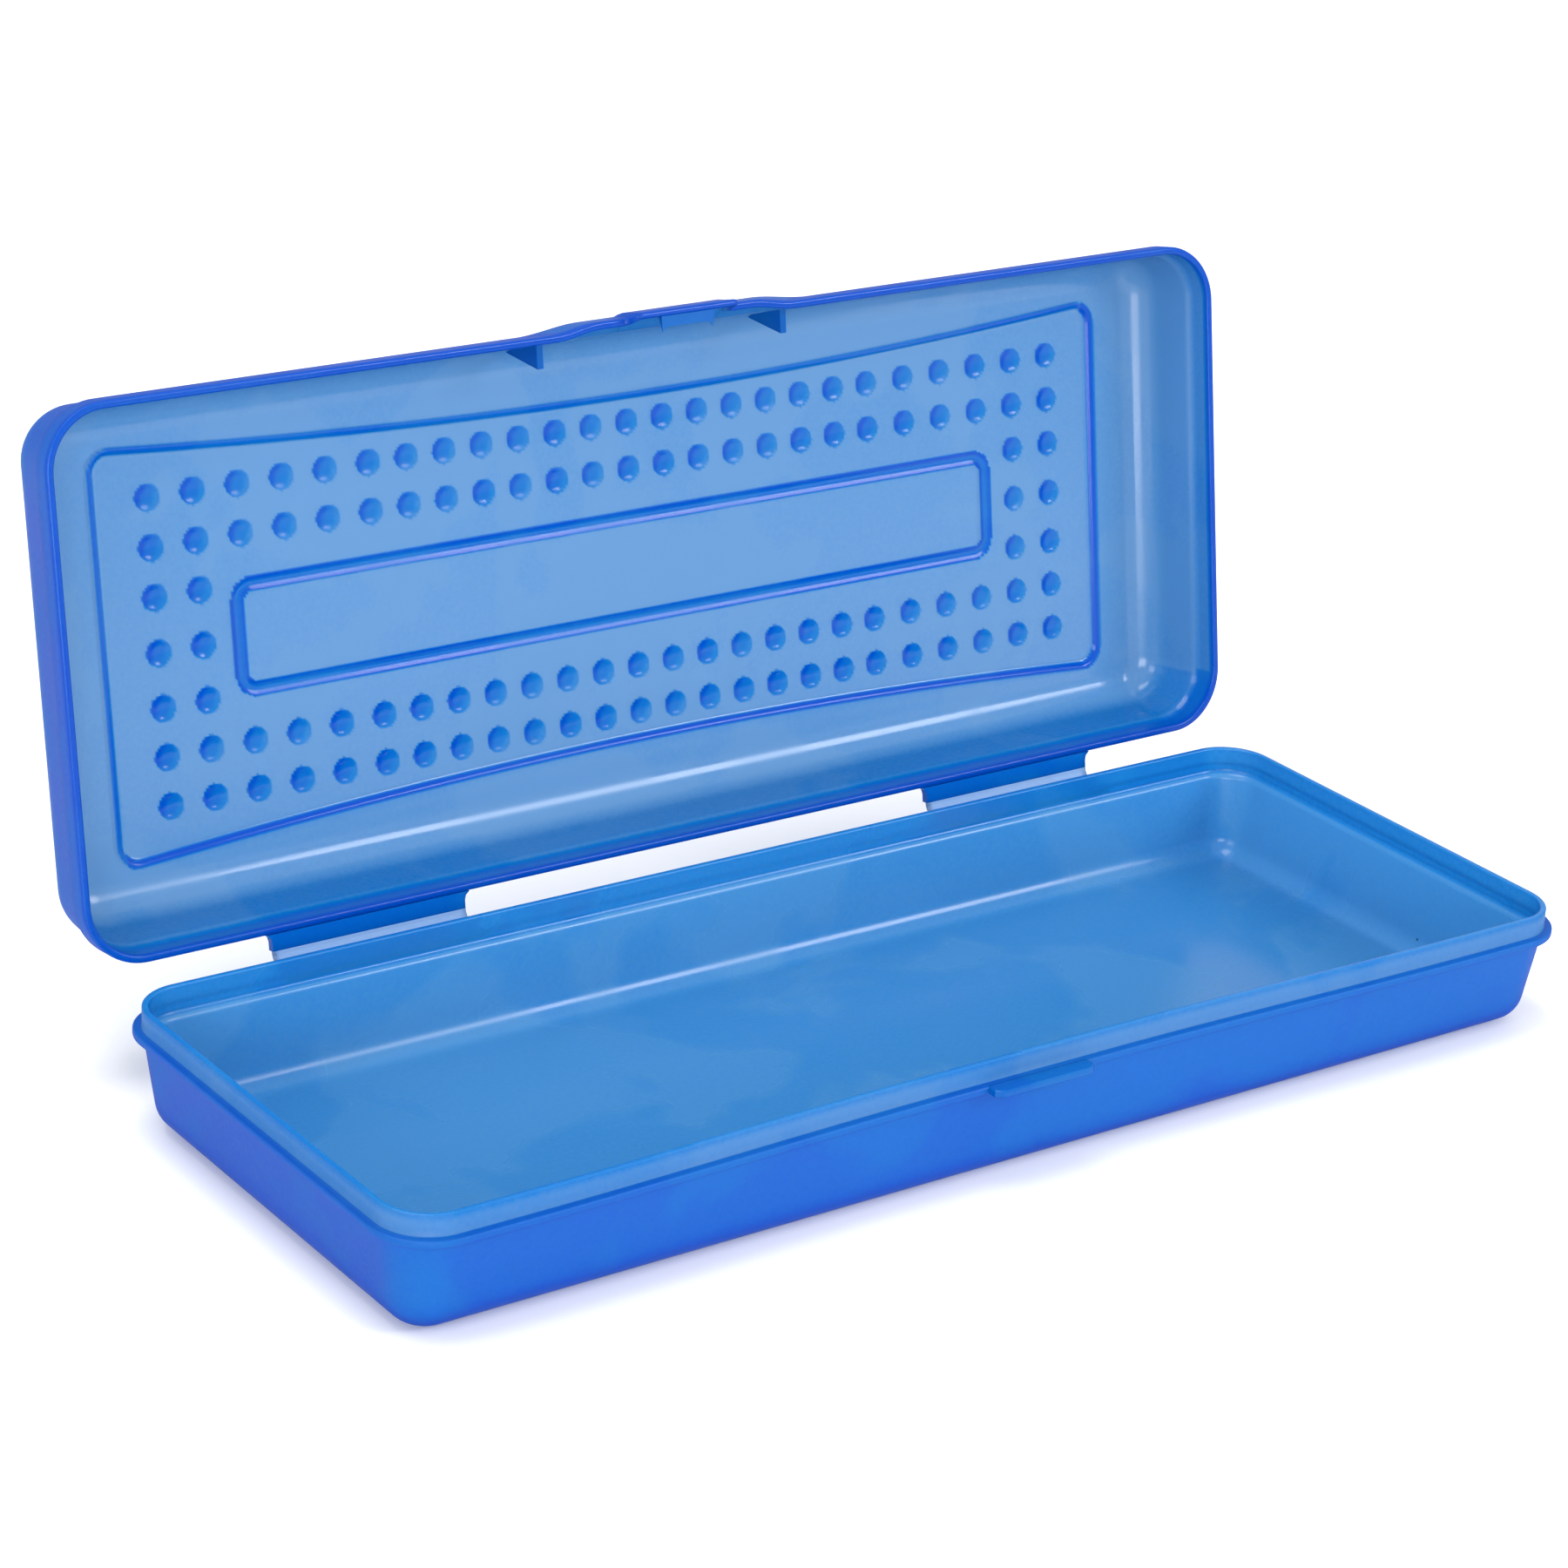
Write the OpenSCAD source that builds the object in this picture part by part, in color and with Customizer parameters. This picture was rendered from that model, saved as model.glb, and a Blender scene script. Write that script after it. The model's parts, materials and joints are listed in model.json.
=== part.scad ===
/* [Tray] */
// Length of the tray over its rim flange
tray_l = 196; // [190:1:200]
// Width of the tray over its rim flange
tray_w = 75; // [74.6:0.1:75]
// Corner radius of the rim flange
tray_r = 8.5; // [8.5:0.5:10]
// Height of the flange's top face above the table
flange_z = 15; // [14:0.5:18]
// Thickness of the rim flange
flange_t = 1.1; // [0.9:0.1:1.4]
// How far the flange stands out of the tray wall
flange_out = 1.2; // [1:0.1:1.5]
// Height of the upright rim above the flange
rim_h = 3; // [2.5:0.1:3.2]
// Thickness of the upright rim
rim_t = 0.9; // [0.8:0.1:1.1]
// Thickness of the tray's walls and floor
tray_t = 1.3; // [1.1:0.1:1.5]
// Outside radius of the tray's bottom edge
tray_fillet = 4.5; // [3.5:0.1:4.8]
// Draft of the tray's and the lid's walls in degrees
draft = 9; // [6:0.5:9.5]

/* [Lid] */
// Length of the lid over its skirt
lid_l = 197; // [196.6:0.1:197.6]
// Width of the lid over its skirt
lid_w = 75.6; // [75.4:0.1:76]
// Corner radius of the lid's skirt
lid_r = 9; // [8.8:0.1:9.6]
// Depth of the lid from its rim to the outside of its top
lid_h = 15.2; // [14:0.1:16]
// Thickness of the lid's wall
lid_t = 1.1; // [1:0.1:1.2]
// Height of the skirt that fits over the tray's rim
skirt_h = 4; // [3.8:0.1:4.4]
// How far the wall steps in above the skirt
skirt_step = 0.45; // [0.3:0.05:0.6]
// Outside radius between the lid's wall and its top
lid_fillet = 6; // [5:0.1:6.2]
// Gap between the closed lid's rim and the flange
seat_gap = 0.3; // [0.3:0.05:0.5]
// Angle of the lid from closed, as it stands at rest
lid_angle = 99.9; // [90:0.1:110]

/* [Lid top pattern] */
// Length of the raised panel
panel_l = 172.2; // [166:0.2:174]
// Width of the raised panel at its ends
panel_w = 57.8; // [54:0.2:58]
// How far the raised panel's long sides bow inwards
panel_bow = 3.2; // [0.5:0.1:4]
// Height of the raised panel
panel_rise = 0.6; // [0.3:0.05:0.8]
// Length of the rectangular bead
bead_l = 131.4; // [126:0.2:134]
// Width of the rectangular bead
bead_w = 16.6; // [15:0.2:17]
// Width of the bead's ridge
bead_ridge = 1.9; // [1.4:0.1:2.2]
// Diameter of a raised dot
dot_d = 3.7; // [3:0.1:4]
// Height of a raised dot and of the bead
dot_h = 0.5; // [0.3:0.05:0.6]
// Spacing of the close columns of dots
dot_col = 6.13; // [5.9:0.01:6.2]
// Spacing of the wide columns of dots at both ends
dot_col_end = 6.85; // [6.6:0.01:7]
// Spacing of the outer rows of dots
dot_row = 6.85; // [6.6:0.01:7]
// Spacing of the rows of dots beside the bead
dot_row_mid = 7.68; // [7.4:0.01:7.9]

/* [Hinge] */
// Width of each hinge strap
strap_w = 30.6; // [24:0.2:34]
// Distance of each strap's middle from the centre of the case
strap_x = 55.8; // [50:0.2:60]
// Distance of the folding line behind the flange
fold_y = 3.9; // [3.6:0.1:4.4]
// Width of the thin film, laid flat
film_w = 2.4; // [2:0.1:2.6]
// Thickness of the film
film_t = 0.4; // [0.3:0.05:0.5]
// Thickness of a hinge leaf
leaf_t = 1.1; // [0.9:0.1:1.2]

/* [Latch] */
// Half the width of the thumb tab at its foot
tab_half = 22; // [20:0.5:26]
// Length of the ramp at each end of the thumb tab
tab_ramp = 9; // [7:0.5:10]
// How far the thumb tab bulges out of the skirt
tab_out = 0.95; // [0.8:0.05:1.3]
// Half the width of the tab's lifting lip
lip_half = 8.2; // [7:0.1:9]
// How far the lifting lip reaches below the lid's rim
lip_down = 2.9; // [2.6:0.1:3.4]
// Half the width of the tongue on the tray's flange
tongue_half = 7.2; // [5:0.1:7.5]
// How far the tongue stands out of the flange
tongue_out = 0.8; // [0.5:0.05:0.8]
// How far the catch reaches in under the tongue and the flange
catch_in = 1.55; // [1:0.05:1.6]
// Distance of each rim stop from the centre of the case
stop_x = 20.7; // [18:0.1:23]

/* [Hidden] */
$fn = 64;
td = tan(draft);
rim_z = flange_z + rim_h;
seat_z = flange_z + seat_gap;
axis_y = tray_w / 2 + fold_y;
axis_z = flange_z + seat_gap / 2;
fold = 180 - lid_angle;
tray_col = "royalblue";
lid_col = "cornflowerblue";
film_col = "lightsteelblue";
wall_in = -tray_w / 2 + flange_out;

// Points on an arc about (cx, cy), from angle a to angle b
function arc(cx, cy, r, a, b, n = 6) =
    [for (i = [0 : n]) let (t = a + (b - a) * i / n) [cx + r * cos(t), cy + r * sin(t)]];

// Section of the tray's wall, floor edge and rim: x is the distance from a
// corner's centre, y is the height.
// The wall leans in by the draft below the flange.
function wall_x(z) = tray_r - flange_out - (flange_z - z) * td;
ftz = tray_fillet * (1 - sin(draft));
fcx = wall_x(ftz) - tray_fillet * cos(draft);
function tray_section() = concat(
    [[0, 0]],
    arc(fcx, tray_fillet, tray_fillet, -90, -draft),
    [[wall_x(flange_z - flange_t), flange_z - flange_t],
     [tray_r - 0.25, flange_z - flange_t], [tray_r, flange_z - flange_t + 0.25],
     [tray_r, flange_z - 0.25], [tray_r - 0.25, flange_z],
     [tray_r - flange_out, flange_z], [tray_r - flange_out, rim_z - 0.2],
     [tray_r - flange_out - 0.2, rim_z], [tray_r - flange_out - rim_t + 0.2, rim_z],
     [tray_r - flange_out - rim_t, rim_z - 0.2],
     [tray_r - flange_out - rim_t, flange_z - flange_t],
     [wall_x(flange_z - flange_t) - tray_t, flange_z - flange_t]],
    arc(fcx, tray_fillet, tray_fillet - tray_t, -draft, -90),
    [[0, tray_t]]);

// Section of the lid's skirt, wall and top edge, drawn with the rim at y = 0
function lid_x(z) = lid_r - 0.12 - skirt_step - (z - skirt_h) * td;
ltz = lid_h - lid_fillet + lid_fillet * sin(draft);
lcx = lid_x(ltz) - lid_fillet * cos(draft);
lcz = lid_h - lid_fillet;
function lid_section() = concat(
    [[0, lid_h]],
    arc(lcx, lcz, lid_fillet, 90, draft),
    [[lid_x(skirt_h), skirt_h], [lid_r - 0.12, skirt_h - 0.5],
     [lid_r, 0.25], [lid_r - 0.25, 0], [lid_r - lid_t + 0.2, 0],
     [lid_r - lid_t, 0.2], [lid_r - lid_t - 0.1, skirt_h - 0.3],
     [lid_x(skirt_h) - lid_t, skirt_h]],
    arc(lcx, lcz, lid_fillet - lid_t, draft, 90),
    [[0, lid_h - lid_t]]);

// A rectangular pan: the section swept along straight sides and round corners,
// with a flat plate between z0 and z1 across the middle
module pan(section, l, w, r, z0, z1) {
    sx = l - 2 * r;
    sy = w - 2 * r;
    for (i = [0, 1], j = [0, 1])
        translate([(i * 2 - 1) * sx / 2, (j * 2 - 1) * sy / 2, 0])
            rotate([0, 0, i == 1 ? (j == 1 ? 0 : -90) : (j == 1 ? 90 : 180)])
                rotate_extrude(angle = 90) polygon(section);
    for (s = [-1, 1]) {
        translate([s * sx / 2, s * sy / 2, 0]) rotate([90, 0, s == 1 ? 0 : 180])
            linear_extrude(sy) polygon(section);
        translate([s * sx / 2, s * sy / 2, 0]) rotate([90, 0, s == 1 ? 90 : 270])
            translate([0, 0, -sx]) linear_extrude(sx) polygon(section);
    }
    translate([-sx / 2, -sy / 2, z0]) cube([sx, sy, z1 - z0]);
}

// Turns the closed lid about the folding line to where it stands at rest
module opened() {
    translate([0, axis_y, axis_z]) rotate([-lid_angle, 0, 0])
        translate([0, -axis_y, -axis_z]) children();
}

// Outline of the raised panel: straight ends, long sides bowed inwards
function bow_y(x, l, w, b) = w / 2 - b * (1 - pow(2 * x / l, 2));
module panel_outline(inset) {
    l = panel_l - 2 * inset;
    w = panel_w - 2 * inset;
    r = 3;
    a = l / 2 - r;
    top = [for (i = [0 : 16]) let (x = -a + 2 * a * i / 16) [x, bow_y(x, 2 * a, w, panel_bow)]];
    right = arc(a, w / 2 - r, r, 75, 0, 4);
    left = arc(-a, w / 2 - r, r, 180, 105, 4);
    half = concat(left, top, right);
    polygon(concat(half, [for (i = [len(half) - 1 : -1 : 0]) [half[i][0], -half[i][1]]]));
}

module round_rect(l, w, r) {
    union() {
        square([l - 2 * r, w], center = true);
        square([l, w - 2 * r], center = true);
        for (i = [-1, 1], j = [-1, 1]) translate([i * (l / 2 - r), j * (w / 2 - r)]) circle(r);
    }
}

// The rectangular bead, as wide as bead_ridge less twice the trim
module bead_ring(trim) {
    difference() {
        round_rect(bead_l - 2 * trim, bead_w - 2 * trim, 2.8 - trim);
        round_rect(bead_l - 2 * bead_ridge + 2 * trim, bead_w - 2 * bead_ridge + 2 * trim, 2.8 - bead_ridge + trim);
    }
}

// Column and row positions of the dots: seven close columns each side of the
// middle one, then five wide ones; the three middle rows stop at the bead
function col_x(i) = sign(i) * (min(abs(i), 7) * dot_col + max(abs(i) - 7, 0) * dot_col_end);
function row_y(j) = sign(j) * (min(abs(j), 1) * dot_row_mid + max(abs(j) - 1, 0) * dot_row);
function dots() = [for (j = [-3 : 3], i = [-12 : 12]) if (abs(j) > 1 || abs(i) > 10) [col_x(i), row_y(j)]];

module tray() {
    color(tray_col)
        pan(tray_section(), tray_l, tray_w, tray_r, 0, tray_t);
}

module latch_tongue() {
    color(tray_col)
        translate([0, -tray_w / 2, flange_z - flange_t])
            linear_extrude(flange_t)
                polygon([[-tongue_half - 1.2, 0], [-tongue_half, -tongue_out],
                         [tongue_half, -tongue_out], [tongue_half + 1.2, 0]]);
}

// Leaf of a hinge strap, flat on the tray's flange; narrower at the film
module leaf(side, y0, y1, z) {
    translate([side * strap_x, 0, z])
        linear_extrude(leaf_t)
            polygon([[-strap_w / 2 - 0.8, y0], [strap_w / 2 + 0.8, y0],
                     [strap_w / 2 + 0.2, y0 + 0.5], [strap_w / 2, y0 + 1.2], [strap_w / 2, y1],
                     [-strap_w / 2, y1], [-strap_w / 2, y0 + 1.2], [-strap_w / 2 - 0.2, y0 + 0.5]]);
}

module tray_leaf(side) {
    color(tray_col) leaf(side, tray_w / 2, axis_y - film_w / 2, flange_z - leaf_t);
}

module lid_leaf(side) {
    color(lid_col) opened() leaf(side, lid_w / 2, axis_y - film_w / 2, seat_z);
}

// Film bent to the resting angle: an arc from the tray's leaf up to the lid's
module film(side) {
    drop = seat_gap / 2 + film_t / 2;
    y0 = axis_y - film_w / 2;
    z0 = axis_z - drop;
    y1 = axis_y + film_w / 2 * cos(fold) + drop * sin(fold);
    z1 = axis_z + film_w / 2 * sin(fold) - drop * cos(fold);
    r = sqrt(pow(y1 - y0, 2) + pow(z1 - z0, 2)) / (2 * sin(fold / 2));
    color(film_col)
        translate([side * strap_x - strap_w / 2, y0, z0 + r])
            rotate([90, 0, 90]) linear_extrude(strap_w)
                intersection() {
                    difference() {
                        circle(r + film_t / 2);
                        circle(r - film_t / 2);
                    }
                    polygon([[0, 0], [0, -9], [9, -9], [9 * sin(fold), -9 * cos(fold)]]);
                }
}

module lid() {
    color(lid_col) opened() translate([0, 0, seat_z])
        difference() {
            union() {
                pan(lid_section(), lid_l, lid_w, lid_r, lid_h - lid_t, lid_h);
                translate([0, 0, lid_h - 0.2]) linear_extrude(panel_rise + 0.2) panel_outline(0);
                translate([0, 0, lid_h + panel_rise - 0.2]) linear_extrude(dot_h + 0.2) bead_ring(0);
                for (p = dots()) translate([p[0], p[1], lid_h + panel_rise - 0.2])
                    cylinder(r1 = dot_d / 2, r2 = dot_d / 2 - 0.5, h = dot_h + 0.2);
            }
            translate([0, 0, lid_h - lid_t - 1]) linear_extrude(panel_rise + 1) panel_outline(1);
            translate([0, 0, lid_h - lid_t + panel_rise - 0.4]) linear_extrude(dot_h + 0.3) bead_ring(0.45);
            for (p = dots()) translate([p[0], p[1], lid_h - lid_t + panel_rise - 0.4])
                cylinder(r1 = dot_d / 2 - 0.3, r2 = dot_d / 2 - 0.8, h = dot_h + 0.3);
            // room for the thumb tab, which is the front part of the skirt
            translate([-tab_half, -lid_w / 2 - 1, -1]) cube([2 * tab_half, 3.2, skirt_h + 1]);
        }
}

// Front part of the skirt, bulged out as a thumb tab with a lifting lip
module thumb_tab() {
    y0 = -lid_w / 2;
    yb = y0 - tab_out;
    xr = tab_half - tab_ramp;
    color(lid_col) opened() translate([0, 0, seat_z]) union() {
        difference() {
            linear_extrude(skirt_h)
                polygon([[-tab_half, y0 + lid_t + 0.95], [-tab_half, y0], [-xr, yb],
                         [xr, yb], [tab_half, y0], [tab_half, y0 + lid_t + 0.95]]);
            translate([0, 0, -1]) linear_extrude(skirt_h)
                polygon([[-tab_half - 1, y0 + 5], [-tab_half - 1, y0 + lid_t], [-tab_half, y0 + lid_t],
                         [-xr, yb + lid_t], [xr, yb + lid_t],
                         [tab_half, y0 + lid_t], [tab_half + 1, y0 + lid_t], [tab_half + 1, y0 + 5]]);
        }
        // lifting lip, which leans out and reaches down past the flange
        rotate([90, 0, 90]) translate([0, 0, -lip_half]) linear_extrude(2 * lip_half)
            polygon([[yb + 0.35, skirt_h - 0.6], [yb, skirt_h - 0.6], [yb - 0.7, skirt_h - 1.4],
                     [yb - 0.85, 0], [yb - 1.05, 0.4 - lip_down], [yb - 0.8, -lip_down],
                     [yb - 0.1, -lip_down], [yb + 0.1, 0.2 - lip_down], [yb + 0.1, 0.1], [yb + 0.35, 0.35]]);
    }
}

// Wedge inside the lip that snaps under the tongue and the flange
module latch_catch() {
    yc = -lid_w / 2 - tab_out + 0.1;
    color(lid_col) opened() translate([0, 0, seat_z])
        rotate([90, 0, 90]) translate([0, 0, -4.6]) linear_extrude(9.2)
            polygon([[yc, 0.25 - lip_down], [yc + catch_in, 0.6 - lip_down],
                     [yc + catch_in, 0.85 - lip_down], [yc, 1.15 - lip_down]]);
}

// Triangular rib that stands over the tray's rim when the lid is shut; its
// back follows the inside of the lid's front wall up into the rounded edge
module rim_stop(side) {
    bend = arc(lcx, lcz, lid_fillet - lid_t, draft, 90);
    back = [for (p = [bend[2], bend[1], bend[0], [lid_x(skirt_h) - lid_t, skirt_h]])
        [lid_r - lid_w / 2 - p[0], p[1]]];
    color(lid_col) opened() translate([0, 0, seat_z])
        translate([side * stop_x - 0.5, 0, 0]) rotate([90, 0, 90]) linear_extrude(1)
            polygon(concat(back, [[back[3][0] + 3.4, skirt_h]]));
}

tray();
latch_tongue();
tray_leaf(-1);  // left_tray_hinge_leaf
tray_leaf(1);  // right_tray_hinge_leaf
film(-1);  // left_hinge_film
film(1);  // right_hinge_film
lid();
lid_leaf(-1);  // left_lid_hinge_leaf
lid_leaf(1);  // right_lid_hinge_leaf
thumb_tab();
latch_catch();
rim_stop(-1);  // left_rim_stop
rim_stop(1);  // right_rim_stop
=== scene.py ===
import json
import math

import bmesh
import bpy
import numpy as np
from mathutils import Matrix, Vector


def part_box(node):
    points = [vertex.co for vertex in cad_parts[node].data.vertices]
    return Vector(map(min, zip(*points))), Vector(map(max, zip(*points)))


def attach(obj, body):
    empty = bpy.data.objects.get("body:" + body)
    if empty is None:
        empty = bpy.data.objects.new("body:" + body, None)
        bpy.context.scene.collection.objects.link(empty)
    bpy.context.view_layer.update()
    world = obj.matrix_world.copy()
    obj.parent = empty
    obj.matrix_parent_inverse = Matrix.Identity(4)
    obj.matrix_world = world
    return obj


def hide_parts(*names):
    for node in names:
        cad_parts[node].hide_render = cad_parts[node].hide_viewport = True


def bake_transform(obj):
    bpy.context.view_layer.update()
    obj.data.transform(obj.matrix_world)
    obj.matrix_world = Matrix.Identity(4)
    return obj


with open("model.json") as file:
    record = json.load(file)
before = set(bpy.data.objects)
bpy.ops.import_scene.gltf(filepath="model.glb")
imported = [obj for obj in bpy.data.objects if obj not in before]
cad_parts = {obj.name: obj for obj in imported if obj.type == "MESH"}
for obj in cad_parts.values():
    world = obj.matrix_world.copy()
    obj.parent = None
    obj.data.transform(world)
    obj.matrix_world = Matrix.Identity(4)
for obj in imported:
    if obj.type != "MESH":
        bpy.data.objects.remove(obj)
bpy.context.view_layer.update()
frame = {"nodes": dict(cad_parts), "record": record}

MM = 0.001
# ---------------------------------------------------------------- sizes from the frame
t_lo, t_hi = [np.array(c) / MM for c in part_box("tray")]
TL, TW = t_hi[0] - t_lo[0], t_hi[1] - t_lo[1]      # tray over its flange
RIM_Z = t_hi[2]                                    # top of the upright rim
RIM_H, FL_T, FL_OUT, RIM_T, TR = 3.0, 1.1, 1.2, 0.9, 8.5
FL_Z = RIM_Z - RIM_H
l_lo, l_hi = [np.array(c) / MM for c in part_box("lid")]
LL, LW, LR = l_hi[0] - l_lo[0], 75.6, 9.0
joint = frame["record"]["behaviour"]["joints"][0]
AX_Y, AX_Z = joint["pos_m"][1] / MM, joint["pos_m"][2] / MM
OPEN = math.radians(-joint["range_deg"][0])
SEAT = FL_Z + 0.3
DRAFT = math.radians(9.0)
LH, LT, SKIRT, STEP, LFIL = 15.2, 1.1, 4.0, 0.45, 6.0
TT, TFIL = 1.3, 4.5
CO, SO = math.cos(-OPEN), math.sin(-OPEN)


def opened(v):
    """Closed-lid coordinates in mm (z from the rim plane) to the row frame in mm, at rest."""
    v = np.asarray(v, float).reshape(-1, 3)
    y, z = v[:, 1] - AX_Y, v[:, 2] + SEAT - AX_Z
    return np.stack([v[:, 0], AX_Y + CO * y - SO * z, AX_Z + SO * y + CO * z], 1)


def add_mesh(name, verts_mm, faces, mat, body=None, smooth=True, attrs=None, closed=True, mat2=None, second=None):
    me = bpy.data.meshes.new(name)
    v = np.asarray(verts_mm, float) * MM
    me.from_pydata([tuple(p) for p in v], [], [tuple(int(i) for i in f) for f in faces])
    me.validate()
    if closed:
        bm = bmesh.new()
        bm.from_mesh(me)
        bmesh.ops.recalc_face_normals(bm, faces=bm.faces)
        bm.to_mesh(me)
        bm.free()
    for a, values in (attrs or {}).items():
        at = me.attributes.new(a, "FLOAT", "POINT")
        at.data.foreach_set("value", np.asarray(values, np.float32))
    me.polygons.foreach_set("use_smooth", [smooth] * len(me.polygons))
    me.materials.append(mat)
    if mat2:
        me.materials.append(mat2)
        me.polygons.foreach_set("material_index", [int(min(second[i] for i in f) > 0.5) for f in faces])
    o = bpy.data.objects.new(name, me)
    bpy.context.scene.collection.objects.link(o)
    if body:
        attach(o, body)
    return o


def arc(cx, cy, r, a, b, n):
    t = np.radians(np.linspace(a, b, n + 1))
    return [(cx + r * math.cos(q), cy + r * math.sin(q)) for q in t]


def dense(points, step):
    """Points along a section, no further apart than step."""
    out = [points[0]]
    for p, q in zip(points, points[1:]):
        n = max(1, int(math.ceil(math.hypot(q[0] - p[0], q[1] - p[1]) / step)))
        out += [(p[0] + (q[0] - p[0]) * k / n, p[1] + (q[1] - p[1]) * k / n) for k in range(1, n + 1)]
    return out


class Pan:
    """A rectangular pan. Its section is swept round a rounded rectangle and ends, inside and
    outside, at a plain grid over the middle. Sections run from the inner grid to the outer one."""

    def __init__(self, length, width, radius, section, cell, nc=20):
        self.cx, self.cy = length / 2 - radius, width / 2 - radius
        nx, ny = round(2 * self.cx / cell), round(2 * self.cy / cell)
        gx, gy = np.linspace(-self.cx, self.cx, nx + 1), np.linspace(-self.cy, self.cy, ny + 1)
        base, way = [], []          # round the rim, anticlockwise, starting bottom right
        grid_index = []             # where each of them meets the grid
        gi = lambda i, j: j * (nx + 1) + i
        for j in range(ny + 1):
            base.append((self.cx, gy[j])); way.append((1, 0)); grid_index.append(gi(nx, j))
        for k in range(1, nc):
            t = math.pi / 2 * k / nc
            base.append((self.cx, self.cy)); way.append((math.cos(t), math.sin(t))); grid_index.append(gi(nx, ny))
        for i in range(nx, -1, -1):
            base.append((gx[i], self.cy)); way.append((0, 1)); grid_index.append(gi(i, ny))
        for k in range(1, nc):
            t = math.pi / 2 * (1 + k / nc)
            base.append((-self.cx, self.cy)); way.append((math.cos(t), math.sin(t))); grid_index.append(gi(0, ny))
        for j in range(ny, -1, -1):
            base.append((-self.cx, gy[j])); way.append((-1, 0)); grid_index.append(gi(0, j))
        for k in range(1, nc):
            t = math.pi * (1 + k / nc / 2)
            base.append((-self.cx, -self.cy)); way.append((math.cos(t), math.sin(t))); grid_index.append(gi(0, 0))
        for i in range(nx + 1):
            base.append((gx[i], -self.cy)); way.append((0, -1)); grid_index.append(gi(i, 0))
        for k in range(1, nc):
            t = math.pi * (1.5 + k / nc / 2)
            base.append((self.cx, -self.cy)); way.append((math.cos(t), math.sin(t))); grid_index.append(gi(nx, 0))
        base, way, n = np.array(base), np.array(way), len(base)
        sec = np.array(section)
        X, Y = np.meshgrid(gx, gy)
        flat = np.stack([X.ravel(), Y.ravel()], 1)
        g = len(flat)
        inner = np.column_stack([flat, np.full(g, sec[0, 1])])
        outer = np.column_stack([flat, np.full(g, sec[-1, 1])])
        mid = sec[1:-1]
        m = len(mid)
        ring = np.empty((m, n, 3))
        ring[:, :, 0] = base[None, :, 0] + way[None, :, 0] * mid[:, None, 0]
        ring[:, :, 1] = base[None, :, 1] + way[None, :, 1] * mid[:, None, 0]
        ring[:, :, 2] = mid[:, None, 1]
        self.v = np.vstack([inner, outer, ring.reshape(-1, 3)])
        self.skin = np.concatenate([np.zeros(g), np.ones(g), np.repeat((np.arange(m) + 1) / (m + 1), n)])
        self.along = np.concatenate([np.zeros(g), np.full(g, m + 1), np.repeat(np.arange(m) + 1, n)])
        self.ring_at = 2 * g
        self.n, self.m, self.g = n, m, g
        self.way = np.vstack([np.zeros((2 * g, 2)), np.tile(way, (m, 1))])
        rows = [np.array(grid_index)] + [2 * g + k * n + np.arange(n) for k in range(m)] + [g + np.array(grid_index)]
        f = []
        nxt = np.roll(np.arange(n), -1)
        for a, b in zip(rows, rows[1:]):
            q = np.stack([a, a[nxt], b[nxt], b], 1)
            f.append(q)
        ii, jj = np.meshgrid(np.arange(nx), np.arange(ny))
        a = (jj * (nx + 1) + ii).ravel()
        q = np.stack([a, a + 1, a + nx + 2, a + nx + 1], 1)
        f.append(q)                       # inner grid
        f.append(q[:, ::-1] + g)          # outer grid
        self.f = np.vstack(f)

    def faces(self, flip=False):
        out = []
        for q in self.f:
            s = list(dict.fromkeys(q.tolist()))
            if len(s) > 2:
                out.append(s[::-1] if flip else s)
        return out


def smooth01(t):
    t = np.clip(t, 0, 1)
    return t * t * (3 - 2 * t)


# ---------------------------------------------------------------- the lid
def lid_section():
    td = math.tan(DRAFT)
    lx = lambda z: LR - 0.12 - STEP - (z - SKIRT) * td
    deg = math.degrees(DRAFT)
    ltz = LH - LFIL + LFIL * math.sin(DRAFT)
    lcx, lcz = lx(ltz) - LFIL * math.cos(DRAFT), LH - LFIL
    inner_wall = (lx(SKIRT) - LT, SKIRT)
    inner = [(0.0, LH - LT), (lcx, LH - LT)] + arc(lcx, lcz, LFIL - LT, 90, deg, 12)[1:] + [inner_wall]
    skirt = [(LR - LT - 0.1, SKIRT - 0.3), (LR - LT, 0.35)] + arc(LR - LT + 0.3, 0.3, 0.3, 180, 270, 3)
    skirt += arc(LR - 0.35, 0.35, 0.35, -90, 0, 3) + [(LR - 0.12, SKIRT - 0.55), (LR - 0.3, SKIRT - 0.25), (lx(SKIRT), SKIRT)]
    outer = arc(lcx, lcz, LFIL, deg, 90, 14) + [(0.0, LH)]
    a = dense(inner, 0.9)
    b = dense([inner_wall] + skirt, 0.9)[1:]
    c = dense([skirt[-1]] + outer, 0.9)[1:]
    # the flat part next to the middle grid carries the panel's edge, so it is finer
    flat_in = [(r, LH - LT) for r in np.linspace(0, lcx, 5)]
    flat_out = [(r, LH) for r in np.linspace(lcx, 0, 5)]
    a = flat_in + [p for p in a if p[0] > lcx + 1e-6 or p[1] < LH - LT - 1e-6]
    c = [p for p in c if p[0] > lcx + 1e-6 or p[1] < LH - 1e-6] + flat_out
    return a + b + c, lx


BU, BV, BOW = 85.6, 28.45, 3.2


def border_d(u, v):
    """Distance inside the panel's outline, in mm."""
    r = 3.0
    e = np.clip(np.abs(u) / (BU - r), 0, 1)
    q1, q2 = np.abs(u) - (BU - r), np.abs(v) - (BV - BOW * (1 - e ** 2) - r)
    out = np.hypot(np.maximum(q1, 0), np.maximum(q2, 0)) + np.minimum(np.maximum(q1, q2), 0)
    return r - out


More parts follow.
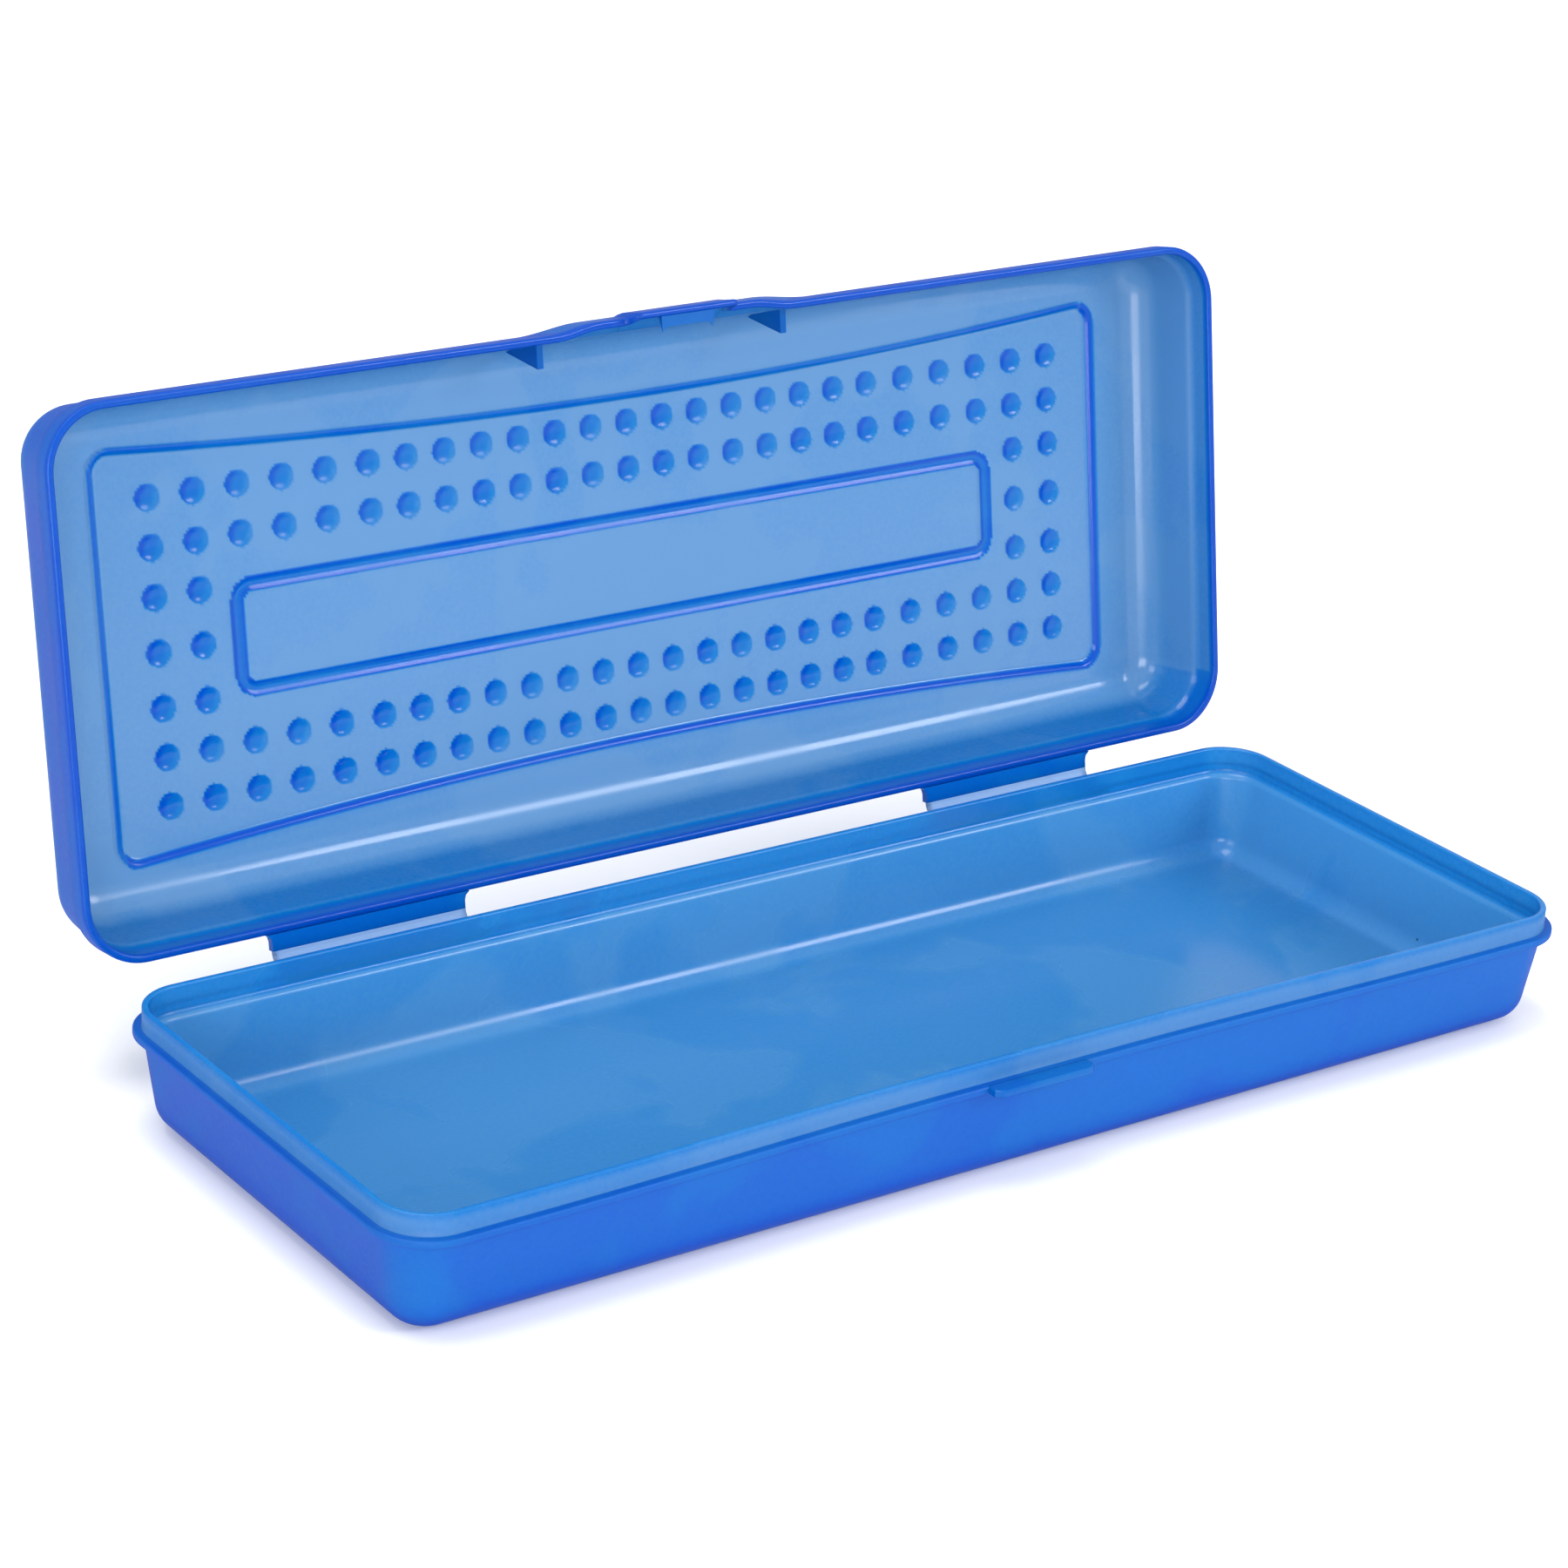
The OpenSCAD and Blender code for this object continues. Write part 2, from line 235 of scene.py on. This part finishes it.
def bead_d(u, v):
    """Distance from the middle line of the rectangular bead, in mm."""
    r = 2.3
    q1, q2 = np.abs(u) - (65.7 - 0.95 - r), np.abs(v) - (8.3 - 0.95 - r)
    return np.hypot(np.maximum(q1, 0), np.maximum(q2, 0)) + np.minimum(np.maximum(q1, q2), 0) - r


COLS = [math.copysign(min(abs(i), 7) * 6.13 + max(abs(i) - 7, 0) * 6.85, i) for i in range(-12, 13)]
ROWS = [math.copysign(min(abs(j), 1) * 7.68 + max(abs(j) - 1, 0) * 6.85, j) for j in range(-3, 4)]
DOTS = [(COLS[i + 12], ROWS[j + 3]) for j in range(-3, 4) for i in range(-12, 13) if abs(j) > 1 or abs(i) > 10]


def dome(u, v, radius, high, power=1.0):
    h = np.zeros_like(u)
    for a, b in DOTS:
        near = np.where((np.abs(u - a) < radius + 0.6) & (np.abs(v - b) < radius + 0.6))[0]
        r = np.hypot(u[near] - a, v[near] - b) / radius
        h[near] = np.maximum(h[near], high * np.maximum(0, 1 - r ** 2) ** 0.75)
    return h


def lid_relief(x, y, skin):
    """How far the top stands out at (x, y), in mm, for the inside (skin 0) and the outside (skin 1)."""
    edge = np.where(skin > 0.5, border_d(x, y) + 0.35, border_d(x, y) - 0.35)
    h = 0.6 * smooth01(edge / 0.8 + 0.5)
    w = np.where(skin > 0.5, 0.95, 0.85)
    h += np.where(skin > 0.5, 0.42, 0.24) * (1 - smooth01((np.abs(bead_d(x, y)) - 0.15) / w))
    i, o = skin <= 0.5, skin > 0.5
    h[i] += dome(x[i], y[i], 1.75, 0.26)
    h[o] += dome(x[o], y[o], 1.85, 0.42)
    camber = 0.18 * np.maximum(0, 1 - (x / 88) ** 2) * np.maximum(0, 1 - (y / 29) ** 2)
    return h + camber


def build_lid(mat, mat_out):
    section, lx = lid_section()
    cell = 0.36
    pan = Pan(LL, LW, LR, section, cell)
    out_from = max(i for i, q in enumerate(section) if q[1] <= 0.01)
    v = pan.v.copy()
    top = v[:, 2] > LH - LT - 0.02
    skin = np.where(v[:, 2] > LH - 0.5, 1.0, 0.0)
    # rows of the mesh follow the bowed long edges of the panel, and meet the dots' rims
    e, a = np.clip(np.abs(v[:, 0]) / (BU - 3), 0, 1), np.abs(v[:, 1])
    follow = np.interp(a, [23.4, 27.6, 29.2, 30.3], [0, 1, 1, 0])
    v[top, 1] -= (np.sign(v[:, 1]) * BOW * (1 - e ** 2) * follow)[top]
    for p, q in DOTS:
        for side, radius in ((0.0, 1.75), (1.0, 1.85)):
            near = np.where(top & (skin == side) & (np.abs(v[:, 0] - p) < 2.4) & (np.abs(v[:, 1] - q) < 2.4))[0]
            dx, dy = v[near, 0] - p, v[near, 1] - q
            r = np.hypot(dx, dy)
            hit = np.abs(r - radius) < cell * 0.56
            k = np.where(hit, radius / np.maximum(r, 1e-6), 1.0)
            v[near, 0], v[near, 1] = p + dx * k, q + dy * k
    v[top, 2] += lid_relief(v[top, 0], v[top, 1], skin[top])
    # the front of the skirt bulges out into the thumb tab; its wall stays in one sheet with the lid
    x, z = v[:, 0].copy(), v[:, 2].copy()
    front = (pan.way[:, 1] < -0.99) & (np.arange(len(v)) >= pan.ring_at) & (np.abs(x) < 27)
    rho = -v[:, 1] - pan.cy
    outside = front & (rho > LR - 0.62) & (z < SKIRT - 0.2)
    inside = front & (rho <= LR - 0.62) & (z < SKIRT - 0.25)
    zs = SKIRT - 0.3
    # the bulge is wider at its top, so a wedge of the wall shows at both ends
    zc = np.clip(z / zs, 0, 1)
    foot, full = 20.0 + 5.2 * zc, 12.6 + 2.2 * zc
    bulge = 0.95 * smooth01((foot - np.abs(x)) / (foot - full))
    in_lip = smooth01((8.6 - np.abs(x)) / 0.45)
    z_new = np.where(in_lip > 0, z + (z / zs - 1) * 2.9 * in_lip, z)
    # inside, the plate under the wall takes up some of the height
    grow = smooth01(bulge / 0.4)
    z_in = np.where(z > zs - 0.05, z - 0.8 * grow, np.minimum(z_new, z_new - 0.25 * grow * np.clip(z / zs, 0, 1)))
    lip_out = np.interp(z_new, [-2.9, 0, 2.6, 3.6], [1.0, 0.72, 0.6, 0.1]) * in_lip
    lip_in = np.interp(z_new, [-2.9, 0.0, 0.9, 1.5], [1.1, 0.84, 0.8, 0.0]) * in_lip
    v[outside, 1] -= (bulge + lip_out)[outside]
    v[outside, 2] = z_new[outside]
    moved = inside & (z < zs - 0.05)
    v[moved, 1] -= (bulge + lip_in)[moved]
    v[inside, 2] = z_in[inside]
    x, y, z = v.T
    out_skin = pan.along > out_from
    deep = np.zeros(len(v))
    # each dot is a deeper tone overall, with painted shade in a crescent toward its upper left and a painted highlight
    # toward its lower right
    for p, q in DOTS:
        near = np.where(top & (np.abs(x - p) < 2) & (np.abs(y - q) < 2))[0]
        dx, dy = (x[near] - p) / 1.75, (y[near] - q) / 1.75
        r = np.hypot(dx, dy)
        shade_lean = np.clip(-0.9 * dx - 0.44 * dy, -1, 1)
        value = 0.66 + 0.34 * smooth01((shade_lean - 0.05) / 0.7) * smooth01(r / 0.85) - 0.2 * smooth01((-shade_lean - 0.2) / 0.7)
        deep[near] = np.where(r <= 1.03, value, deep[near])
    bd = np.abs(bead_d(x, y))
    deep = np.where(top & (bd < 1.05), 0.64 + 0.34 * smooth01((bd - 0.3) / 0.5), deep)
    e = np.abs(border_d(x, y))
    # the border step is painted darker, over a wider band, along its right and lower sides: painted shade
    shaded_side = np.where((x > 84) | (y > 0) & (np.abs(x) < 84.5), 1.0, 0.0)
    deep = np.where(top & (e < 0.75), np.maximum(deep, (0.8 + 0.2 * shaded_side) * (1 - smooth01((e - 0.3 - 0.2 * shaded_side) / 0.3))), deep)
    back_in = (~out_skin) & (y > 30) & (z < LH - 2)
    deep = np.where(back_in, 0.3 * smooth01((LH - 2 - z) / 4), deep)
    wall = np.clip((LH - 1.5 - z) / 4, 0, 1)
    deep = np.where(out_skin, np.maximum(deep, 0.8 * wall), deep)
    low_in = (~out_skin) & (z < SKIRT - 0.25)
    deep = np.where(low_in, np.where(y > 30, 0.65, 0.25), deep)
    # the flanks of the tab's bulge are painted paler: a painted highlight
    lit_wedge = outside & (np.abs(x) > 10) & (z > 0.6)
    deep = np.where(lit_wedge, deep * (1 - 0.3 * smooth01(bulge / 0.25) * smooth01((z - 0.6) / 0.6)), deep)
    edge = (z < 0.36) | ((~out_skin) & (z < 0.9) & ~((z < SKIRT) & (bulge > 0.02)))
    deep = np.where(edge, 1.0, deep)
    w = opened(v)
    o = add_mesh("lid_shell", w, pan.faces(), mat, "lid", attrs={"deep": deep}, mat2=mat_out, second=out_skin)
    return o, pan


# ---------------------------------------------------------------- the tray
def tray_section():
    td, deg = math.tan(DRAFT), math.degrees(DRAFT)
    wx = lambda z: TR - FL_OUT - (FL_Z - z) * td
    ftz = TFIL * (1 - math.sin(DRAFT))
    fcx = wx(ftz) - TFIL * math.cos(DRAFT)
    low = FL_Z - FL_T
    inner = [(0.0, TT), (fcx, TT)] + arc(fcx, TFIL, TFIL - TT, -90, -deg, 8)[1:] + [(wx(low) - TT, low)]
    rim = [(TR - FL_OUT - RIM_T, low + 0.05), (TR - FL_OUT - RIM_T, RIM_Z - 0.3)]
    rim += arc(TR - FL_OUT - RIM_T + 0.25, RIM_Z - 0.25, 0.25, 180, 90, 3) + arc(TR - FL_OUT - 0.25, RIM_Z - 0.25, 0.25, 90, 0, 3)
    rim += [(TR - FL_OUT, FL_Z + 0.12), (TR - FL_OUT + 0.12, FL_Z)] + arc(TR - 0.3, FL_Z - 0.3, 0.3, 90, 0, 3)
    rim += arc(TR - 0.3, FL_Z - FL_T + 0.3, 0.3, 0, -90, 3) + [(wx(low) + 0.15, low), (wx(low - 0.15), low - 0.15)]
    outer = arc(fcx, TFIL, TFIL, -deg, -90, 10) + [(0.0, 0.0)]
    return dense(inner, 0.9) + dense([inner[-1]] + rim, 0.9)[1:] + dense([rim[-1]] + outer, 0.9)[1:]


def build_tray(mat, mat_out):
    section = tray_section()
    pan = Pan(TL, TW, TR, section, 1.0)
    v = pan.v.copy()
    # moulding warp: the long front side draws in at its middle, as the photographed one does
    u = np.clip(np.abs(v[:, 0]) / 90, 0, 1)
    k = (1 - smooth01((u - 0.15) / 0.75)) * np.clip(v[:, 2] / FL_Z, 0, 1)
    front = np.clip((-v[:, 1] - 24) / 8, 0, 1)
    v[:, 1] += 1.3 * k * front
    v[:, 2] -= 0.0
    z = v[:, 2]
    top_at = max(i for i, q in enumerate(section) if q[1] >= RIM_Z - 0.001)
    low = FL_Z - FL_T
    out_skin = pan.along > top_at
    deep = np.where(out_skin, 0.72 + 0.25 * np.clip((5 - z) / 5, 0, 1), 0.15)
    deep = np.where(z > FL_Z + 0.05, 0.2, deep)
    deep = np.where(z > RIM_Z - 0.3, 0.45, deep)
    far_rim = (~out_skin) & (z > low) & ((v[:, 1] > 30) | (v[:, 0] > 90))
    deep = np.where(far_rim, 0.5, deep)
    deep = np.where(out_skin & (z < FL_Z + 0.05) & (z > low - 0.05), 0.72, deep)
    o = add_mesh("tray_shell", v, pan.faces(), mat, "tray", attrs={"deep": deep}, mat2=mat_out, second=out_skin)
    return o, pan

# ---------------------------------------------------------------- materials
PALE, MID, DEEP = (0.113, 0.29, 0.555), (0.002, 0.180, 0.535), (0.0, 0.078, 0.52)


def plastic(name, pale=PALE, mid=MID, deep=DEEP, base_deep=0.0, rough=(0.14, 0.24), see=0.45, turn=0.45, grain=0.05, shine=0.4):
    """Translucent polypropylene. The vertex attribute "deep" says where the light's way through the plastic is long; on
    the lid it also carries painted shade and painted highlights.
    """
    m = bpy.data.materials.new(name)
    m.use_nodes = True
    nt = m.node_tree
    N, L = nt.nodes, nt.links
    N.clear()

    def node(kind, **values):
        n = N.new(kind)
        for k, x in values.items():
            n.inputs[k.replace("_", " ")].default_value = x
        return n

    def math_node(op, p, q=None, clamp=False):
        n = N.new("ShaderNodeMath")
        n.operation, n.use_clamp = op, clamp
        for i, x in enumerate((p, q)):
            if x is None:
                continue
            if isinstance(x, (int, float)):
                n.inputs[i].default_value = x
            else:
                L.new(x, n.inputs[i])
        return n.outputs[0]

    out, p, co = N.new("ShaderNodeOutputMaterial"), N.new("ShaderNodeBsdfPrincipled"), N.new("ShaderNodeTexCoord")
    # marks left by the plastic as it flowed into the mould: broad patches with soft edges that change the roughness;
    # the colour is also painted paler in them, a painted sheen
    flow = node("ShaderNodeTexNoise", Scale=34.0, Detail=3.0, Roughness=0.5, Distortion=0.5)
    L.new(co.outputs["Object"], flow.inputs["Vector"])
    patch = node("ShaderNodeMapRange", From_Min=0.47, From_Max=0.56, To_Min=0.0, To_Max=1.0)
    patch.interpolation_type = "SMOOTHSTEP"
    L.new(flow.outputs["Fac"], patch.inputs["Value"])
    # the mould's fine blasted finish, and a few specks
    fine = node("ShaderNodeTexNoise", Scale=1500.0, Detail=2.0, Roughness=0.6)
    L.new(co.outputs["Object"], fine.inputs["Vector"])
    speck = N.new("ShaderNodeTexVoronoi")
    speck.inputs["Scale"].default_value = 95.0
    L.new(co.outputs["Object"], speck.inputs["Vector"])
    rare = N.new("ShaderNodeSeparateColor")
    L.new(speck.outputs["Color"], rare.inputs["Color"])
    dot = math_node("MULTIPLY", math_node("LESS_THAN", speck.outputs["Distance"], 0.022), math_node("GREATER_THAN", rare.outputs[0], 0.8))
    at = N.new("ShaderNodeAttribute")
    at.attribute_name = "deep"
    face = node("ShaderNodeLayerWeight", Blend=0.5)
    turned = math_node("MULTIPLY", math_node("POWER", face.outputs["Facing"], 2.2), turn)
    grainy = math_node("MULTIPLY", math_node("SUBTRACT", fine.outputs["Fac"], 0.5), grain * 4)
    # the flow patches painted paler in colour: painted sheen
    flow_sheen = math_node("MULTIPLY", math_node("SUBTRACT", patch.outputs["Result"], 0.5), -0.11)
    total = math_node("ADD", math_node("ADD", at.outputs["Fac"], base_deep), math_node("ADD", turned, math_node("ADD", grainy, flow_sheen)), clamp=True)
    ramp = N.new("ShaderNodeValToRGB")
    ramp.color_ramp.elements[0].color, ramp.color_ramp.elements[1].color = (*pale, 1), (*deep, 1)
    ramp.color_ramp.elements.new(0.5).color = (*mid, 1)
    L.new(total, ramp.inputs["Fac"])
    dark = N.new("ShaderNodeMix"); dark.data_type = "RGBA"
    dark.inputs["B"].default_value = (0.012, 0.02, 0.05, 1)
    L.new(math_node("MULTIPLY", dot, 0.75), dark.inputs["Factor"])
    L.new(ramp.outputs["Color"], dark.inputs["A"])
    L.new(dark.outputs["Result"], p.inputs["Base Color"])
    ro = node("ShaderNodeMapRange", To_Min=rough[0], To_Max=rough[1])
    L.new(patch.outputs["Result"], ro.inputs["Value"])
    L.new(ro.outputs["Result"], p.inputs["Roughness"])
    p.inputs["IOR"].default_value = 1.42
    p.inputs["Transmission Weight"].default_value = see
    # no white glint where the plastic is deep in colour
    L.new(math_node("MULTIPLY", math_node("SUBTRACT", 1.0, math_node("MULTIPLY", total, 0.97)), shine), p.inputs["Specular IOR Level"])
    bump = node("ShaderNodeBump", Strength=0.25, Distance=0.00002)
    L.new(fine.outputs["Fac"], bump.inputs["Height"])
    L.new(bump.outputs["Normal"], p.inputs["Normal"])
    L.new(p.outputs["BSDF"], out.inputs["Surface"])
    return m


lid_mat = plastic("lid_plastic", turn=0.28)
lid_out = plastic("lid_plastic_frosted", rough=(0.42, 0.5), shine=0.12, turn=0.3)
TRAY_PALE, TRAY_MID = (0.10, 0.36, 0.68), (0.010, 0.24, 0.65)
tray_mat = plastic("tray_plastic", pale=TRAY_PALE, mid=TRAY_MID, rough=(0.18, 0.28), turn=0.28)
tray_out = plastic("tray_plastic_frosted", rough=(0.42, 0.5), shine=0.14)
small_mat = plastic("moulded_details", base_deep=0.66, shine=0.12, turn=0.2)
leaf_mat = plastic("hinge_leaf_plastic", base_deep=0.74, shine=0.2, turn=0.2)
# the hinge film's paler colours: partly its thinner plastic, partly a painted reflection of white light on its bend
film_mat = plastic("hinge_film", pale=(0.30, 0.5, 0.82), mid=(0.2, 0.42, 0.78), base_deep=0.1, rough=(0.3, 0.4), see=0.6)

lid, lid_pan = build_lid(lid_mat, lid_out)
tray, tray_pan = build_tray(tray_mat, tray_out)
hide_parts("lid", "thumb_tab")
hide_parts("tray")


def build_film(side):
    """The thin strip of the hinge: an arc at rest from the tray's leaf to the lid's, scored along its length."""
    half, thick, drop, wide = 1.2, 0.2, 0.35, 15.3
    beta = math.pi - OPEN
    s0 = (AX_Y - half, AX_Z - drop)
    s1 = (AX_Y + half * math.cos(beta) + drop * math.sin(beta), AX_Z + half * math.sin(beta) - drop * math.cos(beta))
    r = math.hypot(s1[0] - s0[0], s1[1] - s0[1]) / (2 * math.sin(beta / 2))
    n, nx = 24, 24
    verts, faces = [], []
    xs = np.linspace(side * 55.8 - wide, side * 55.8 + wide, nx + 1)
    for k in range(n + 1):
        t = beta * k / n
        score = 0.045 * max(0.0, 1 - min(abs(k - c) for c in (6, 12, 18)) / 1.2)
        for sign in (1, -1):
            rho = r + sign * (thick - score)
            for x in xs:
                verts.append((x, s0[0] + rho * math.sin(t), s0[1] + r - rho * math.cos(t)))
    at = lambda k, skin, i: (2 * k + skin) * (nx + 1) + i
    for k in range(n):
        for i in range(nx):
            faces.append((at(k, 0, i), at(k, 0, i + 1), at(k + 1, 0, i + 1), at(k + 1, 0, i)))
            faces.append((at(k, 1, i), at(k + 1, 1, i), at(k + 1, 1, i + 1), at(k, 1, i + 1)))
        for i in (0, nx):
            faces.append((at(k, 0, i), at(k + 1, 0, i), at(k + 1, 1, i), at(k, 1, i)))
    for k in (0, n):
        for i in range(nx):
            faces.append((at(k, 0, i), at(k, 1, i), at(k, 1, i + 1), at(k, 0, i + 1)))
    name = "left_hinge_film" if side < 0 else "right_hinge_film"
    film = add_mesh(name + "_skin", verts, faces, film_mat)
    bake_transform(film)
    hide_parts(name)
    return film


def build_catch():
    """Plate inside the lip, narrower at its tip, with rounded corners."""
    root, tip = -38.95, -37.15
    outline = [(-4.6, root), (-4.2, tip + 0.75), (-3.9, tip + 0.3), (-3.4, tip)]
    outline += [(-x, y) for x, y in outline[::-1]]
    n = len(outline)
    low, top = [], []
    for x, y in outline:
        k = (y - root) / (tip - root)
        low.append((x, y, -2.65 + 0.35 * k))
        top.append((x, y, -1.75 - 0.3 * k))
    faces = [tuple(range(n)), tuple(range(2 * n - 1, n - 1, -1))] + [(i, (i + 1) % n, n + (i + 1) % n, n + i) for i in range(n)]
    catch = add_mesh("latch_catch_skin", opened(low + top), faces, small_mat, "lid", smooth=False)
    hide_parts("latch_catch")
    return catch


def build_tongue():
    """The tongue reaches back to the flange, whose middle is drawn in by the moulding warp."""
    z0, z1, half, out, back = FL_Z - FL_T, FL_Z, 7.2, 0.8, 1.65
    front = -TW / 2
    outline = [(-half - 1.2, front), (-half - 0.5, front - 0.5), (-half + 0.1, front - out), (half - 0.1, front - out),
               (half + 0.5, front - 0.5), (half + 1.2, front), (half + 1.2, front + back), (-half - 1.2, front + back)]
    n, b = len(outline), 0.2
    rings = []
    for z, inset in ((z0, b), (z0 + b, 0), (z1 - b, 0), (z1, b)):
        rings += [(x * (1 - inset / 9), y + inset * (y < front + 0.1), z) for x, y in outline]
    faces = [tuple(range(n)), tuple(range(4 * n - 1, 3 * n - 1, -1))]
    for k in range(3):
        faces += [(k * n + i, k * n + (i + 1) % n, (k + 1) * n + (i + 1) % n, (k + 1) * n + i) for i in range(n)]
    tongue = add_mesh("latch_tongue_skin", rings, faces, small_mat, "tray", smooth=False)
    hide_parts("latch_tongue")
    return tongue


for side in (-1, 1):
    build_film(side)
build_catch()
build_tongue()
for n, o in frame["nodes"].items():
    for s in o.material_slots:
        s.material = {"lid": lid_mat, "tray": tray_mat, "thumb_tab": lid_out}.get(n) or (
            film_mat if "film" in n else leaf_mat if "leaf" in n else small_mat)

# ---------------------------------------------------------------- floor, light, camera
floor_mat = bpy.data.materials.new("floor")
floor_mat.use_nodes = True
fb = floor_mat.node_tree.nodes["Principled BSDF"]
fb.inputs["Base Color"].default_value = (0.93, 0.93, 0.93, 1)
fb.inputs["Roughness"].default_value = 0.9
fb.inputs["Specular IOR Level"].default_value = 0.1
me = bpy.data.meshes.new("floor")
s = 3.0
me.from_pydata([(-s, -s, -0.0002), (s, -s, -0.0002), (s, s, -0.0002), (-s, s, -0.0002)], [], [(0, 1, 2, 3)])
floor = bpy.data.objects.new("floor", me)
me.materials.append(floor_mat)
bpy.context.scene.collection.objects.link(floor)

world = bpy.data.worlds.new("studio")
bpy.context.scene.world = world
world.use_nodes = True
bg = world.node_tree.nodes["Background"]
bg.inputs["Color"].default_value = (1, 1, 1, 1)
bg.inputs["Strength"].default_value = 0.9


def area(name, at, to, size, power):
    d = bpy.data.lights.new(name, "AREA")
    d.shape, d.size, d.size_y, d.energy = "RECTANGLE", size[0], size[1], power
    o = bpy.data.objects.new(name, d)
    o.location = at
    o.rotation_mode = "QUATERNION"
    o.rotation_quaternion = (Vector(to) - Vector(at)).to_track_quat("-Z", "Y")
    bpy.context.scene.collection.objects.link(o)


area("right_front", (0.66, -0.84, 0.56), (0, 0.03, 0.03), (0.4, 0.35), 6)
area("front", (-0.6, -1.0, 0.2), (0, 0.03, 0.04), (0.6, 0.45), 8)
area("left", (-1.1, -0.3, 0.5), (0, 0.03, 0.04), (0.5, 0.4), 3)
area("above", (-0.2, 0.1, 1.0), (0, 0.03, 0.03), (0.6, 0.5), 6)

cam_data = bpy.data.cameras.new("camera")
cam = bpy.data.objects.new("camera", cam_data)
bpy.context.scene.collection.objects.link(cam)
right, up, fwd = Vector((0.813, -0.579, 0.058)), Vector((0.178, 0.343, 0.922)), Vector((0.554, 0.739, -0.382))
fwd.normalize()
right = (right - fwd * right.dot(fwd)).normalized()
up = right.cross(fwd)
rot = Matrix((right, up, -fwd)).transposed()
cam.matrix_world = Matrix.Translation(Vector((-0.33767, -0.42673, 0.2668))) @ rot.to_4x4()
cam_data.sensor_width, cam_data.sensor_fit, cam_data.lens = 36, "HORIZONTAL", 99.87
cam_data.clip_start, cam_data.clip_end = 0.01, 20
bpy.context.scene.camera = cam
bpy.context.scene.view_settings.view_transform = "Standard"
